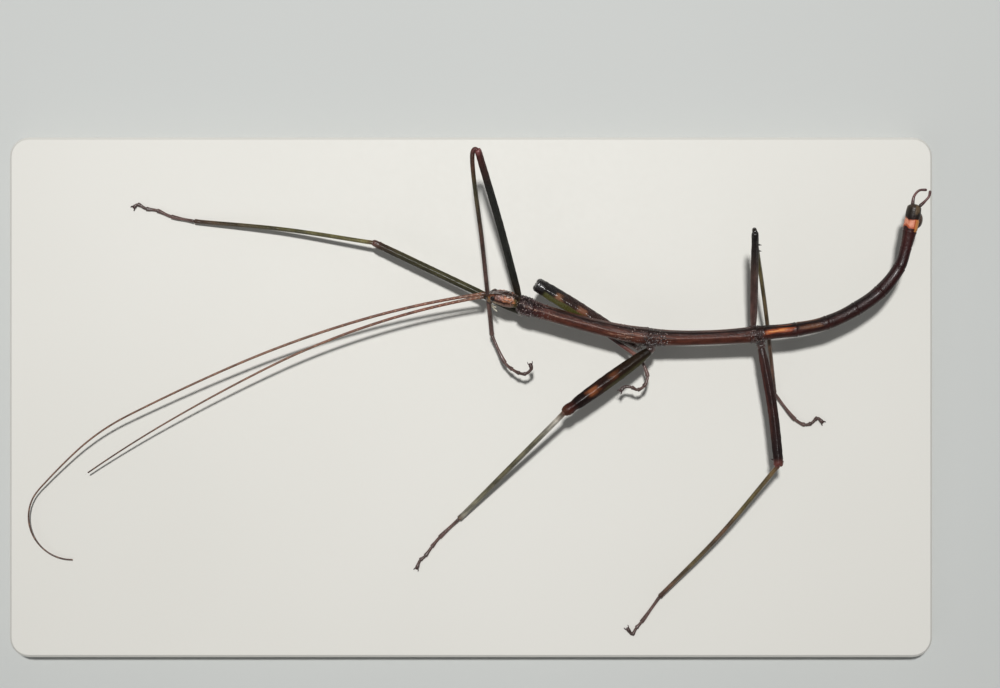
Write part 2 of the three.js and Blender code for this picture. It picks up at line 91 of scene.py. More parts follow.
# Each leg: its hip (ring, how far along it, out and down from the body's middle line), its femur and
# shin, how the shin's start is folded aside, and the toes with their turns and heights.
LEGS = {
    "front_left": {
        "hip": ("prothorax", 0.45, -1.1, 2.95),
        "femur": (24.73, 154.5, -2.6, 0, (0.95, 1.05, 1.0)),
        "shin": (28.31, 172.7, 0.9, 0.4, 0.66),
        "fold": None,
        "toes": ((3.7, -4.7, 0.5), (2.4, -10.7, 0.3), (1.7, 12.9, 0.3), (1.4, -16.3, 0.3), (0.7, 60, 0.3)),
    },
    "front_right": {
        "hip": ("prothorax", 0.09, -1.38, 0.92),
        "femur": (24.25, 106.2, 24.8, 0.15, (0.95, 1.0, 0.95)),
        "shin": (29.6, -84.1, 4, 0, 0.68),
        "fold": (-0.72, 0),
        "toes": ((4.6, 20, 4.2), (1.45, 22.5, 4.8), (1.2, 14.4, 5.3), (0.9, 23.4, 5.8), (1.07, 44.8, 6.2),
                 (0.7, 57.3, 6.5)),
    },
    "middle_left": {
        "hip": ("metathorax", 0.03, 1.15, 1.72),
        "femur": (15.76, -144.5, 4.39, 0, (1.4, 2.05, 1.45)),
        "shin": (24.68, -133.29, 0.9, 0, 0.82),
        "fold": None,
        "toes": ((4.2, -2.7, 0.5), (1.9, 7.4, 0.3), (1.7, 2.4, 0.3), (1.0, -12.9, 0.3), (1.3, 25.7, 0.3)),
    },
    "middle_right": {
        "hip": ("mesothorax", 0.94, -0.67, 3.18),
        "femur": (17.7, 148.75, 6.4, 0, (1.2, 2.1, 2.0)),
        "shin": (19.45, -35.2, 5.6, 0, 0.66),
        "fold": (0, 1.2),
        "toes": ((2.85, -35.2, 5.7), (1.6, -42.6, 5.8), (1.0, -40.2, 5.9), (1.0, -48.7, 6), (1.0, 18.2, 6),
                 (0.8, 46, 6)),
    },
    "hind_left": {
        "hip": ("metathorax", 1.018, 1.0, 1.71),
        "femur": (17.82, -81.9, 1.95, -0.3, (1.2, 1.4, 1.35)),
        "shin": (27.98, -128.45, 0.9, -0.5, 0.72),
        "fold": None,
        "toes": ((4.8, 4, 0.4), (1.2, -4.8, 0.3), (1.1, 5.6, 0.3), (1.1, -105, 0.3)),
    },
    "hind_right": {
        "hip": ("metathorax", 0.98, -2.05, 1.26),
        "femur": (16.6, 95.5, 33, 0, (0.9, 1.05, 0.95)),
        "shin": (28.85, -76.6, 0.9, -0.2, 0.64),
        "fold": (0, 0.86),
        "toes": ((5.2, 25.9, 0.5), (1.7, 23, 0.3), (1.0, 40.5, 0.3), (1.2, 28.2, 0.45), (1.0, -78.7, 0.35)),
    },
}

# Each clasper: how far out it starts, its length, its heading and rise, and its turns.
CLASPERS = {
    "cercus_left": (0.85, 2.55, 42, 6, (2, 8, 28)),
    "cercus_right": (-0.25, 3.3, 88, 4, (-8, -32, -44)),
}


# ---- Paths -------------------------------------------------------------------------------------

def heading(degrees, rise=0.0):
    turn, lift = math.radians(degrees), math.radians(rise)
    return Vector((math.cos(lift) * math.cos(turn), math.cos(lift) * math.sin(turn), math.sin(lift)))


class Path:
    """A smooth curve through points. Places on it are in millimetres along its points."""

    def __init__(self, points):
        inner = [Vector(point) for point in points]
        chain = [2 * inner[0] - inner[1], *inner, 2 * inner[-1] - inner[-2]]
        self.stops = [0.0]
        for a, b in zip(inner, inner[1:]):
            self.stops.append(self.stops[-1] + (b - a).length)
        self.length = self.stops[-1]
        self.spans = [self.span(*chain[i:i + 4]) for i in range(len(inner) - 1)]

    @staticmethod
    def span(before, start, end, after):
        g = [max((b - a).length, 1e-6) ** 0.5 for a, b in ((before, start), (start, end), (end, after))]
        leave = ((start - before) / g[0] - (end - before) / (g[0] + g[1]) + (end - start) / g[1]) * g[1]
        arrive = ((end - start) / g[1] - (after - start) / (g[1] + g[2]) + (after - end) / g[2]) * g[1]
        return start, leave, 3 * (end - start) - 2 * leave - arrive, 2 * (start - end) + leave + arrive

    def frame(self, x, lean=0.0):
        """The point at x with the directions of its side and its back."""
        inside = min(max(x, 0.0), self.length)
        i = min(bisect_right(self.stops, inside) - 1, len(self.spans) - 1)
        w = (inside - self.stops[i]) / (self.stops[i + 1] - self.stops[i])
        a, b, c, d = self.spans[i]
        ahead = (b + 2 * w * c + 3 * w * w * d).normalized()
        point = a + w * (b + w * (c + w * d)) + ahead * (x - inside)
        side = ahead.cross(UP).normalized()
        back = side.cross(ahead)
        turn = Matrix.Rotation(-lean, 3, ahead)
        return point, turn @ side, turn @ back


def walk(start, steps):
    """The points of a walk of (length, heading, rise) steps."""
    points = [Vector(start)]
    for length, way, rise in steps:
        points.append(points[-1] + length * heading(way, rise))
    return points


spine = Path(walk(BROW, [ring[:3] for ring in BODY.values()]))
RING_START = dict(zip(BODY, spine.stops))
JOINTS = spine.stops[1:-1]
HEAD_END = BODY["head"][0]
THORAX_END = RING_START["abdomen_1"]
TAIL_END = spine.length


def on_body(ring, share, out, up):
    """A place by the body: share of the way along a ring, out to the left and up towards the back."""
    point, side, back = spine.frame(RING_START[ring] + share * BODY[ring][0], LEAN)
    return point + side * out + back * up


# ---- Making a piece ----------------------------------------------------------------------------

def stations(length, step, front, rear):
    """Places along a tube, close together over its rounded front and rear ends."""
    turns = [math.radians(angle) for angle in (0, 18, 36, 54, 72)]
    count = max(2, round((length - front - rear) / step))
    places = [front * (1 - math.cos(turn)) for turn in turns]
    places += [front + (length - front - rear) * i / count for i in range(count + 1)]
    return places + [length - rear * (1 - math.cos(turn)) for turn in reversed(turns)]


def in_order(places):
    return sorted(set(round(place, 3) for place in places))


def rounding(x, length, front, rear):
    """How much a tube's rounded ends narrow it at x."""
    if x < front:
        return math.sqrt(max(0.0, 1 - (1 - x / front) ** 2))
    if x > length - rear:
        return math.sqrt(max(0.0, 1 - (1 - (length - x) / rear) ** 2))
    return 1.0


def hill(distance, width):
    return math.exp(-(distance / width) ** 2)


def smooth(low, high, value):
    t = min(max((value - low) / (high - low), 0.0), 1.0)
    return t * t * (3 - 2 * t)


def roll(places, sides, skin):
    """A straight closed tube, rolled up from a flat grid. skin gives the place (out, up) of a point
    that is x along and a round, from the back at 0 to the right of travel at a quarter turn."""
    bm = bmesh.new()
    bmesh.ops.create_grid(bm, x_segments=len(places) - 1, y_segments=sides, size=0.5)
    for vert in bm.verts:
        x = places[round((vert.co.x + 0.5) * (len(places) - 1))]
        out, up = skin(x, math.tau * vert.co.y)
        vert.co = (x, out, up)
    bmesh.ops.remove_doubles(bm, verts=bm.verts, dist=WELD)
    bmesh.ops.recalc_face_normals(bm, faces=bm.faces)
    return bm


def add_grains(bm, spots):
    """Small domed grains: (x, out, up, radius) each."""
    for x, out, up, radius in spots:
        turn = Vector((0, out, up)).to_track_quat("Z", "X").to_matrix().to_4x4()
        place = Matrix.Translation((x, out, up)) @ turn @ Matrix.Diagonal((1, 1, 1.25, 1))
        bmesh.ops.create_icosphere(bm, subdivisions=1, radius=radius, matrix=place)


def add_spine(bm, x, a, foot, reach, lean=0.5):
    """A small pointed spine that stands on a tube's skin and leans back along it."""
    out = Vector((-lean, math.sin(a), math.cos(a))).normalized()
    turn = out.to_track_quat("Z", "X").to_matrix().to_4x4()
    middle = Vector((x, foot * math.sin(a), foot * math.cos(a))) + out * reach / 2
    bmesh.ops.create_cone(bm, cap_ends=True, segments=8, radius1=0.3 * reach, radius2=0.02, depth=reach,
                          matrix=Matrix.Translation(middle) @ turn)


def bend(bm, path, lean=0.0):
    """Lays a straight piece along its path, keeping its straight places as "lie"."""
    lie = bm.verts.layers.float_vector.new("lie")
    frames = {}
    for vert in bm.verts:
        x, out, up = vert.co
        vert[lie] = (x, out, up)
        key = round(x, 3)
        if key not in frames:
            frames[key] = path.frame(key, lean)
        point, side, back = frames[key]
        vert.co = point + side * out + back * up
        vert.co.z = max(vert.co.z, SOLE)


def add_object(name, data):
    made = bpy.data.objects.new(name, data)
    bpy.context.scene.collection.objects.link(made)
    return made


def finish_piece(name, bm, finish, slot, *nodes):
    """Makes the piece an object in metres that stands for its CAD nodes."""
    for face in bm.faces:
        face.smooth = True
    mesh = bpy.data.meshes.new(name)
    bm.to_mesh(mesh)
    bm.free()
    mesh.transform(Matrix.Scale(MM, 4) @ Matrix.Translation((0, 0, PLATE_TOP)))
    mesh.materials.append(finish)
    made = add_object(name, mesh)
    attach(made, "root")
    if nodes:
        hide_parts(*nodes)


# ---- Finishes ----------------------------------------------------------------------------------

def linear(colour):
    """An sRGB hex colour as linear values with full alpha."""
    shares = [int(colour[i:i + 2], 16) / 255 for i in (1, 3, 5)]
    return (*((s / 12.92 if s <= 0.04045 else ((s + 0.055) / 1.055) ** 2.4) for s in shares), 1.0)


def node(tree, kind, settings=None, inputs=None):
    """Adds a node with its settings, and its inputs as values or as other nodes' outputs."""
    made = tree.nodes.new("ShaderNode" + kind)
    for name, value in (settings or {}).items():
        setattr(made, name, value)
    for name, value in (inputs or {}).items():
        if isinstance(value, bpy.types.NodeSocket):
            tree.links.new(value, made.inputs[name])
        else:
            made.inputs[name].default_value = value
    return made


def near(tree, value, centre, half, soft):
    """1 where value is within half of centre, falling to 0 over soft."""
    away = node(tree, "Math", {"operation": "SUBTRACT"}, {0: value, 1: centre}).outputs[0]
    away = node(tree, "Math", {"operation": "ABSOLUTE"}, {0: away}).outputs[0]
    return node(tree, "MapRange", {"interpolation_type": "SMOOTHSTEP"}, {
        "Value": away, "From Min": half, "From Max": half + soft, "To Min": 1, "To Max": 0}).outputs[0]


def lay(tree, colour, hue, strength, *covers):
    """Lays a hue over a colour where all of its covers are."""
    for cover in covers:
        strength = node(tree, "Math", {"operation": "MULTIPLY"}, {0: strength, 1: cover}).outputs[0]
    return node(tree, "Mix", {"data_type": "RGBA"}, {0: strength, 6: colour, 7: linear(hue)}).outputs[2]


def new_finish(name):
    made = bpy.data.materials.new(name)
    made.use_nodes = True
    made.node_tree.nodes.clear()
    return made, made.node_tree


def cuticle(name, length, colours, marks=(), roughness=0.3, mottle=0.35, patterns=(), relief=0.07,
            both=False, shine=0.5):
    """Insect cuticle: hard, waxy and glossy, with colour under a clear skin, so that it gives small
    sharp glints on every ridge. colours run along the piece as (x, hex). marks are (x, half, soft,
    angle, half, soft, hex, strength) patches in millimetres and degrees. Where both is true they are laid
    on both sides alike, but for those with an angle below 0, which are on the one side alone. patterns
    add to the colour and the relief, whose depth is in millimetres. shine is how strongly the wax and
    the clear skin over it reflect, and mottle how far the tone strays."""
    finish, tree = new_finish(name)
    lie = node(tree, "Attribute", {"attribute_name": "lie"}).outputs["Vector"]
    place = node(tree, "SeparateXYZ", inputs={0: lie})
    x = place.outputs["X"]
    angle = node(tree, "Math", {"operation": "ARCTAN2"}, {0: place.outputs["Y"], 1: place.outputs["Z"]})
    angle = node(tree, "Math", {"operation": "DEGREES"}, {0: angle.outputs[0]}).outputs[0]
    signed = angle
    if both:
        angle = node(tree, "Math", {"operation": "ABSOLUTE"}, {0: angle}).outputs[0]

    share = node(tree, "MapRange", inputs={"Value": x, "From Min": 0.0, "From Max": length}).outputs[0]
    ramp = node(tree, "ValToRGB", inputs={0: share})
    stops = ramp.color_ramp.elements
    while len(stops) < len(colours):
        stops.new(0.5)
    for stop, (at, colour) in zip(stops, colours):
        stop.position = min(max(at / length, 0.0), 1.0)
        stop.color = linear(colour)
    colour = ramp.outputs["Color"]

    # Streaks about 0.3 mm wide and 3 mm long run along the piece, and blotches about 1 mm across lie
    # over them.
    drawn = node(tree, "Mapping", inputs={0: lie, "Scale": (0.35, 3.2, 3.2)}).outputs[0]
    streaks = node(tree, "TexNoise", inputs={"Vector": drawn, "Scale": 1.0, "Detail": 3.0}).outputs[0]
    blotches = node(tree, "TexNoise", inputs={"Vector": lie, "Scale": 0.9, "Detail": 4.0}).outputs[0]
    tone = node(tree, "Math", {"operation": "ADD"}, {0: streaks, 1: blotches}).outputs[0]
    shade = node(tree, "MapRange", inputs={"Value": tone, "From Min": 0.75, "From Max": 1.25,
                                           "To Min": 1 - mottle, "To Max": 1 + mottle}).outputs[0]
    colour = node(tree, "VectorMath", {"operation": "SCALE"}, {0: colour, "Scale": shade}).outputs[0]

    # The patches have uneven edges, which wander by about 0.4 mm along the piece and 12 degrees round it.
    wander = node(tree, "MapRange", inputs={"Value": blotches, "To Min": -0.9, "To Max": 0.9}).outputs[0]
    edge_x = node(tree, "Math", {"operation": "ADD"}, {0: x, 1: wander}).outputs[0]
    wander = node(tree, "MapRange", inputs={"Value": streaks, "To Min": -26.0, "To Max": 26.0}).outputs[0]
    even_edge = node(tree, "Math", {"operation": "ADD"}, {0: angle, 1: wander}).outputs[0]
    signed_edge = node(tree, "Math", {"operation": "ADD"}, {0: signed, 1: wander}).outputs[0]
    for at, half, soft, turned, turn_half, turn_soft, hue, strength in marks:
        edge_angle = signed_edge if turned < 0 else even_edge
        colour = lay(tree, colour, hue, strength, near(tree, edge_x, at, half, soft),
                     near(tree, edge_angle, turned, turn_half, turn_soft))

    # The wax is thinner on some spots, and fine wrinkles about 0.2 mm apart break up the gloss.
    fine = node(tree, "TexNoise", inputs={"Vector": lie, "Scale": 4.5, "Detail": 2.0}).outputs[0]
    rough = node(tree, "MapRange", inputs={
        "Value": fine, "From Min": 0.3, "From Max": 0.7,
        "To Min": roughness - 0.07, "To Max": roughness + 0.12}).outputs[0]
    height = node(tree, "Math", {"operation": "ADD"}, {0: fine, 1: blotches}).outputs[0]
    for pattern in patterns:
        colour, height = pattern(tree, lie, x, angle, colour, height)
    bumps = node(tree, "Bump", inputs={"Height": height, "Strength": 1.0, "Distance": relief * MM})
    shader = node(tree, "BsdfPrincipled", inputs={
        "Base Color": colour, "Roughness": rough, "IOR": 1.5, "Specular IOR Level": shine,
        "Coat Weight": 0.24 * shine, "Coat Roughness": 0.15, "Normal": bumps.outputs[0]})
    node(tree, "OutputMaterial", inputs={"Surface": shader.outputs[0]})
    return finish


def marbled_cheeks_with_painted_glints(tree, lie, x, angle, colour, height):
    """Wavy dark lines about 0.1 mm wide on the head, with the cuticle raised between them, and pale wavy
    lines on the cheeks, which are painted highlights."""
    drawn = node(tree, "Mapping", inputs={0: lie, "Scale": (0.75, 1.25, 1.25)}).outputs[0]
    wander = node(tree, "TexNoise", inputs={
        "Vector": drawn, "Scale": 1.9, "Detail": 2.0, "Distortion": 1.6}).outputs[0]
    lines = near(tree, wander, 0.5, 0.014, 0.04)
    head = near(tree, x, 2.1, 1.7, 0.4)
    flank = near(tree, angle, 62, 40, 16)
    lines = node(tree, "Math", {"operation": "MULTIPLY"}, {0: lines, 1: head}).outputs[0]
    lines = node(tree, "Math", {"operation": "MULTIPLY"}, {0: lines, 1: flank}).outputs[0]
    lowered = node(tree, "Math", {"operation": "MULTIPLY_ADD"}, {0: lines, 1: -2.0, 2: height}).outputs[0]
    colour = lay(tree, colour, "#200e0a", 0.9, lines)
    # Pale wavy lines on the cheeks: painted highlights standing in for glints.
    painted_glints = near(tree, wander, 0.575, 0.012, 0.025)
    return lay(tree, colour, "#f3e4da", 0.85, painted_glints, near(tree, x, 2.6, 1.2, 0.3),
               near(tree, angle, 36, 18, 10)), lowered


def painted_glint_dots(tree, lie, x, angle, colour, height):
    """Pale dots about 0.2 mm across on the rough places of the thorax, which are painted glints."""
    cells = node(tree, "TexVoronoi", inputs={"Vector": lie, "Scale": 2.6}).outputs["Distance"]
    dots = near(tree, cells, 0.0, 0.12, 0.16)
    cover = near(tree, x, 7.2, 2.8, 2.4)
    for at, half in ((22.6, 2.0), (25.2, 1.6), (39.9, 1.4)):
        spot = near(tree, x, at, half, 1.0)
        cover = node(tree, "Math", {"operation": "MAXIMUM"}, {0: cover, 1: spot}).outputs[0]
    cover = node(tree, "Math", {"operation": "MULTIPLY"}, {0: dots, 1: cover}).outputs[0]
    raised = node(tree, "Math", {"operation": "MULTIPLY_ADD"}, {0: cover, 1: 1.5, 2: height}).outputs[0]
    # The pale dots are painted glints.
    return lay(tree, colour, "#cdb6ac", 0.7, cover), raised


# ---- Body --------------------------------------------------------------------------------------

def radius_at(widths, t):
    """The radius at the share t of a smooth curve through a front, a middle and a rear width."""
    front, middle, rear = widths
    curve = 2 * (front + rear) - 4 * middle
    return 0.5 * (front + (rear - front - curve) * t + curve * t * t)


def ring_radius(x):
    """The body's plain radius at x, before its edges and ridges."""
    i = min(bisect_right(JOINTS, x), len(BODY) - 1)
    length, _, _, widths = list(BODY.values())[i]
    t = min(max((x - spine.stops[i]) / length, 0.0), 1.0)
    if widths is None:
        for (low, a), (high, b) in zip(HEAD_OUTLINE, HEAD_OUTLINE[1:]):
            if t <= high:
                return a + (b - a) * smooth(low, high, t) * 0.5 + (b - a) * 0.5 * (t - low) / (high - low)
    return radius_at(widths, t)


def body_skin(x, a):
    """The body's skin: rings with raised rear edges, a keel down the back and a line along each flank."""
    radius = sum(ring_radius(x + shift) for shift in (-0.18, -0.06, 0.06, 0.18)) / 4
    side = abs(math.degrees(a))
    for k, joint in enumerate(JOINTS):
        if abs(x - joint) < 0.8:
            deep = (0.16, 0.1, 0.04, 0.03)[k] if k < 4 else 0.055
            radius *= 1 - deep * hill(x - joint - 0.03, 0.1) + 0.035 * hill(x - joint + 0.2, 0.14)
    if x < HEAD_END:
        brow_x = x - EYE["x"]
        radius *= 1 - 0.13 * hill(side - 180, 55) * smooth(0.2, 1.2, x)
        radius *= 1 + 0.06 * hill(side - 75, 40) * hill(x - 2.7, 1.2)
        radius *= 1 + 0.05 * hill(side - 38, 16) * hill(brow_x, 0.7)
        radius *= 1 - 0.05 * hill(side, 5) * smooth(1.0, 2.0, x) * (1 - smooth(3.8, 4.3, x))
        radius *= 1 - 0.05 * hill(x - 3.85, 0.12)
    elif x < THORAX_END:
        bare = smooth(HEAD_END, HEAD_END + 3, x)
        radius *= 1 + 0.035 * hill(side, 8) * bare
        radius *= 1 + 0.03 * hill(side - 47, 5) * bare
        radius *= 1 + 0.025 * hill(side - 74, 6) * smooth(14, 19, x) * (1 - smooth(23, 24.5, x))
        radius *= 1 - 0.03 * hill(side - 24, 12) * bare
        lumps = noise.noise(Vector((x * 1.6, 2.2 * math.sin(a), 2.2 * math.cos(a))))
        radius *= 1 + 0.05 * lumps * (1 - smooth(8.0, 10.5, x))
    else:
        radius *= 1 + 0.025 * hill(side, 9) * (1 - smooth(62, 66, x))
        radius *= 1 + 0.02 * hill(side - 70, 8) * (1 - smooth(64, 67, x))
    radius *= 1 + 0.012 * noise.noise(Vector((x * 0.5, 3 * math.sin(a), 3 * math.cos(a))))
    radius *= rounding(x, TAIL_END, *BODY_ENDS)
    return radius * math.sin(a), radius * math.cos(a) * BODY_DEPTH


def grain_spots():
    """Where the body's grains stand: thick on the first ring and round the legs, thin elsewhere."""
    luck = random.Random(7)
    spots = []

    def sow(count, low, high, turn, spread, sizes):
        for _ in range(count):
            x = luck.uniform(low, high)
            a = math.radians(turn + luck.uniform(-spread, spread))
            out, up = body_skin(x, a)
            spots.append((x, 0.99 * out, 0.99 * up, luck.uniform(*sizes)))

    sow(150, 4.75, 7.1, 0, 140, (0.06, 0.15))
    sow(110, 7.2, 9.8, 0, 125, (0.05, 0.14))
    sow(30, 9.4, 11.5, 0, 110, (0.04, 0.08))
    for side in (1, -1):
        for i in range(15):
            x = 9.6 + 0.82 * i + luck.uniform(-0.15, 0.15)
            out, up = body_skin(x, side * math.radians(57 + luck.uniform(-4, 4)))
            spots.append((x, out, up, luck.uniform(0.05, 0.08)))
        sow(34, 20.3, 24.0, 62 * side, 36, (0.04, 0.09))
        sow(130, 23.8, 27.1, 76 if side > 0 else -98, 50 if side > 0 else 34, (0.08, 0.17))
        sow(26, 1.5, 4.1, 36 * side, 18, (0.04, 0.1))
        sow(95, 38.6, 41.2, 68 * side, 48, (0.06, 0.14))
    return spots


BODY_COLOURS = (
    (0, "#3c2418"), (0.6, "#6d3f28"), (1.6, "#8c5646"), (3.6, "#9a6448"), (4.0, "#54461c"),
    (4.5, "#3d3518"), (4.9, "#22110f"), (6.9, "#301a1b"), (8.8, "#43201b"), (10.5, "#4b261c"),
    (23.0, "#4d281d"), (24.8, "#33201c"), (27.2, "#4b261b"), (38.0, "#442118"), (40.4, "#2c1b18"),
    (41.6, "#381a13"), (47.0, "#311410"), (56.0, "#260e0c"), (66.0, "#280f0f"), (69.8, "#3a1a18"),
    (71.9, "#1f1512"), (72.8, "#2c2620"), (TAIL_END, "#40342a"),
)
BODY_MARKS = (
    # The dark back, from the thorax to the tail.
    (32.0, 26.0, 2.0, 0, 10, 16, "#160b0a", 0.85),
    # The head: dark crown with a painted highlight line along it, peach cheek behind a mauve patch, painted
    # shade over the far cheek, dark stripe, and the pale lower cheek.
    (1.9, 0.4, 0.4, 40, 12, 10, "#b08c88", 0.7),
    (3.2, 0.8, 0.4, 46, 15, 9, "#cf8660", 0.85),
    (2.2, 2.3, 0.3, 0, 20, 8, "#1d0f0c", 0.92),
    # A thin pale line along the crown: a painted highlight.
    (1.1, 0.8, 0.3, 10, 2, 3, "#d9cfc8", 0.7),
    # The far cheek, on one side only, darkened: painted shade.
    (2.6, 2.0, 0.3, -42, 26, 8, "#1d0f0c", 0.92),
    (2.6, 1.6, 0.3, 75, 3, 6, "#1f0f0b", 0.9),
    (2.4, 1.5, 0.4, 104, 16, 12, "#8b6c60", 0.8),
    (1.6, 0.5, 0.3, 96, 6, 8, "#c9b896", 0.5),
    (0.7, 0.25, 0.3, 82, 10, 10, "#c08a3c", 0.75),
    # The thin pale lines along the flanks.
    (15.0, 7.5, 2.5, 47, 0.7, 2.0, "#b98c74", 0.45),
    (21.2, 1.6, 1.2, 74, 0.8, 2.4, "#b98c74", 0.4),
    (31.5, 5.0, 2.0, 47, 1.0, 3.0, "#a2705a", 0.25),
    # The orange streak behind the hind legs, with gold along its middle, painted shade darkening the far
    # flank over it, and the dull streak behind it.
    (43.7, 1.6, 0.7, 36, 13, 12, "#93451f", 0.95),
    (43.4, 1.0, 0.8, 36, 4, 8, "#d98a48", 0.8),
    # The far flank there, on one side only, darkened: painted shade.
    (44.0, 4.0, 1.0, -50, 36, 8, "#160b0a", 0.97),
    (48.2, 1.2, 0.9, 38, 12, 14, "#6a4024", 0.7),
    # The pale patches before the tail's bulb, and the tan spot on it.
    (70.95, 0.5, 0.2, 38, 44, 12, "#b85a38", 0.9),
    (71.05, 0.3, 0.25, 24, 18, 12, "#df9478", 0.9),
    (70.6, 0.7, 0.25, 88, 16, 12, "#c98648", 0.9),
    (73.2, 0.4, 0.5, 62, 14, 14, "#6d5a44", 0.7),
)


def make_body():
    places = stations(TAIL_END, 0.15, *BODY_ENDS)
    places += [BODY_ENDS[0] + 0.1 * i for i in range(1, 46)]
    for joint in JOINTS:
        places += [joint + 0.04 * i for i in range(-6, 7)]
    bm = roll(in_order(places), 72, body_skin)
    bend(bm, spine, LEAN)
    finish = cuticle("thorax and abdomen cuticle, waxy brown", TAIL_END, BODY_COLOURS, BODY_MARKS, 0.38,
                     0.4, (marbled_cheeks_with_painted_glints, painted_glint_dots), 0.06, both=True, shine=0.26)
    finish_piece("body_skin", bm, finish, "shell", *BODY)

    bm = bmesh.new()
    add_grains(bm, grain_spots())
    bend(bm, spine, LEAN)
    # The pale dots on the grains are painted glints.
    finish = cuticle("thorax grains, with painted glints", TAIL_END, (
        (0, "#a06a52"), (4.2, "#a06a52"), (4.6, "#4c3838"), (9.0, "#4c3533"), (12.0, "#6a4838"),
        (24.0, "#382624"), (TAIL_END, "#382624")),
        (), 0.24, 0.8, (painted_glint_dots,), shine=1.0)
    finish_piece("body_grains", bm, finish, "shell")


# ---- Head --------------------------------------------------------------------------------------

def make_eyes():
    """The eyes: polished near-black domes that mirror the lamp, each in a softer rim of horn."""
    finish = cuticle("compound eye, polished near black", 2.0, ((0, "#120b09"), (2.0, "#1a0f0b")), (), 0.12,
                     0.3)
    lid = cuticle("eye rim, horn", 2.0, ((0, "#6e5244"), (2.0, "#7f5f50")), (), 0.25, 0.3)
    for name, s in (("eye_left", 1), ("eye_right", -1)):
        out = Vector((0, s * EYE["out"], EYE["up"]))
        turn = out.to_track_quat("Z", "X").to_matrix().to_4x4()
        place = Matrix.Translation((EYE["x"], s * EYE["out"], EYE["up"])) @ turn
        bm = bmesh.new()
        bmesh.ops.create_uvsphere(bm, u_segments=32, v_segments=20, radius=EYE["radius"],
                                  matrix=place @ Matrix.Diagonal((1.08, 0.96, 0.92, 1)))
        bend(bm, spine, LEAN)
        finish_piece(name + "_lens", bm, finish, "eye", name)

        rim = bmesh.new()
        upright = Matrix.Translation((0.41, 0, 0)) @ Matrix.Rotation(math.pi / 2, 4, "X")
        bmesh.ops.create_circle(rim, segments=10, radius=0.05, matrix=upright)
        bmesh.ops.spin(rim, geom=rim.verts[:] + rim.edges[:], cent=(0, 0, 0), axis=(0, 0, 1),
                       angle=math.tau, steps=36, use_merge=True)
        bmesh.ops.transform(rim, verts=rim.verts, matrix=place @ Matrix.Translation((0, 0, 0.06)))
        bmesh.ops.recalc_face_normals(rim, faces=rim.faces)
        bend(rim, spine, LEAN)
        finish_piece(name + "_rim", rim, lid, "head")


def add_lobe(bm, x, out, up, sizes, turn=0.0):
    """A smooth rounded lobe, turned about the side axis so that its rear drops."""
    place = Matrix.Translation((x, out, up)) @ Matrix.Rotation(turn, 4, "Y") @ Matrix.Diagonal((*sizes, 1))
    bmesh.ops.create_uvsphere(bm, u_segments=24, v_segments=14, radius=1, matrix=place)


def make_mouth():
    """The upper lip, jaws and feelers of the mouth, under the front of the head."""
    finish = cuticle("mouthpart cuticle, tan and olive", 2.0, (
        (0, "#4a3524"), (0.5, "#7c6040"), (1.0, "#5c3f30"), (2.0, "#3a2620")), (), 0.25, 0.5)
    bm = bmesh.new()
    add_lobe(bm, 0.1, 0.0, -0.3, (0.3, 0.42, 0.36), 0.5)
    add_lobe(bm, 0.22, 0.0, -0.72, (0.28, 0.34, 0.34), 0.4)
    for s in (1, -1):
        add_lobe(bm, 0.52, s * 0.26, -0.8, (0.48, 0.24, 0.3), 0.1)
        add_lobe(bm, 0.95, s * 0.2, -1.0, (0.5, 0.16, 0.16), -0.1)
    bend(bm, spine, LEAN)
    finish_piece("jaws", bm, finish, "head", "mouthparts")

    # The palps are pale and glossy, and read as short white bars under the head.
    pale = cuticle("palp cuticle, pale and glossy", 2.0, (
        (0, "#3a2a20"), (0.5, "#4a3a2c"), (0.75, "#a09a86"), (2.0, "#cdc9ba")), (), 0.18, 0.3)
    palps = (
        ("outer", ((0.5, 0.34, -0.9), (0.8, 0.6, -1.22), (1.09, 0.62, -1.42), (1.6, 0.62, -1.56))),
        ("inner", ((0.55, 0.16, -1.0), (0.9, 0.5, -1.45), (1.28, 0.75, -1.8), (1.8, 0.8, -2.17))),
    )
    rounded = (0.1, 0.14)
    for kind, points in palps:
        for side, s in (("left", 1), ("right", -1)):
            placed = []
            for x, out, up in points:
                point, across, back = spine.frame(x, LEAN)
                placed.append(point + across * s * out + back * up)
            path = Path(placed)
            length = path.length

            def skin(x, a):
                joint = sum(hill(x - length * share, 0.07) for share in (0.3, 0.66))
                r = 0.12 * (1 - 0.22 * joint) * rounding(x, length, *rounded)
                return r * math.sin(a), r * math.cos(a)

            bm = roll(stations(length, 0.06, *rounded), 16, skin)
            bend(bm, path)
            finish_piece("palp_%s_%s" % (kind, side), bm, pale, "head")


def pale_joints(tree, lie, x, angle, colour, height):
    """A narrow pale ring at every joint of a feeler."""
    ring = node(tree, "Attribute", {"attribute_name": "ring"}).outputs["Fac"]
    return lay(tree, colour, "#b08a70", 0.45, ring), height


